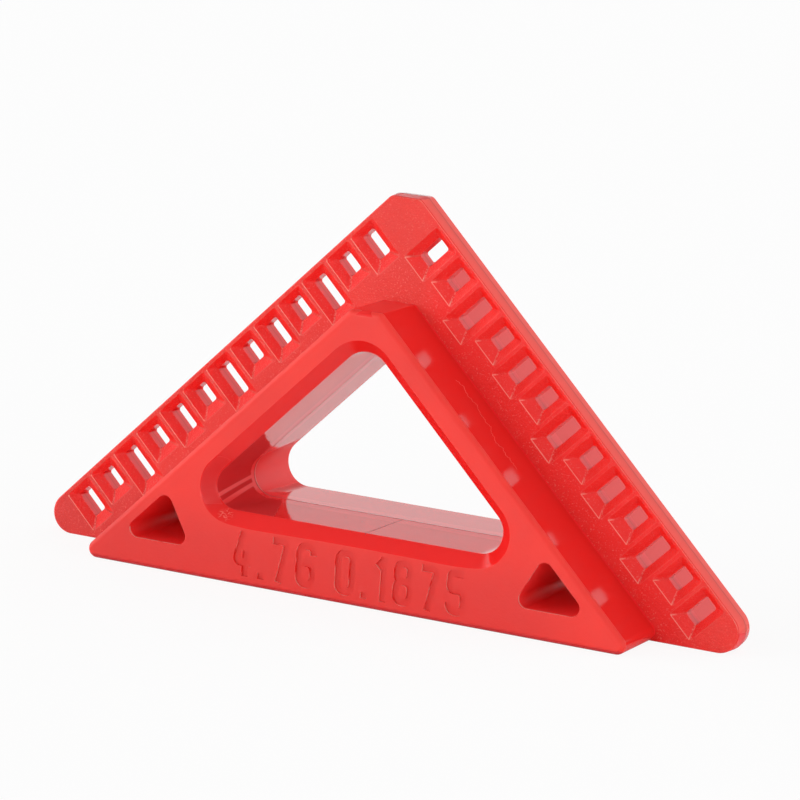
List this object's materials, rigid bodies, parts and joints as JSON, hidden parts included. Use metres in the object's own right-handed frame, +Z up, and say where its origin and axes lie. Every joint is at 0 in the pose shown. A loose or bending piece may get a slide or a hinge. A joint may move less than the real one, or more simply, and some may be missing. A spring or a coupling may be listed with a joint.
{
  "type": "reveal gauge",
  "caption": "Right-angled hand gauge with slotted edges that overhang its fences, by 3/16 inch in front and 1/8 inch behind, for marking reveals, with a finger window.",
  "frame": {"origin": "middle of the resting face, under the apex, on the seam between the two halves", "axes": "+X along the long resting edge, +Z up to the right-angled apex, -Y out of the numbered front face"},
  "size_m": [0.0504, 0.0116, 0.0261],
  "materials": {
    "front_plastic": "satin moulded face with fine grain, polished walls",
    "rear_plastic": "satin moulded face with fine grain, polished walls"
  },
  "bodies": {
    "root": {"front_half": "front_plastic", "rear_half": "rear_plastic"}
  },
  "joints": []
}
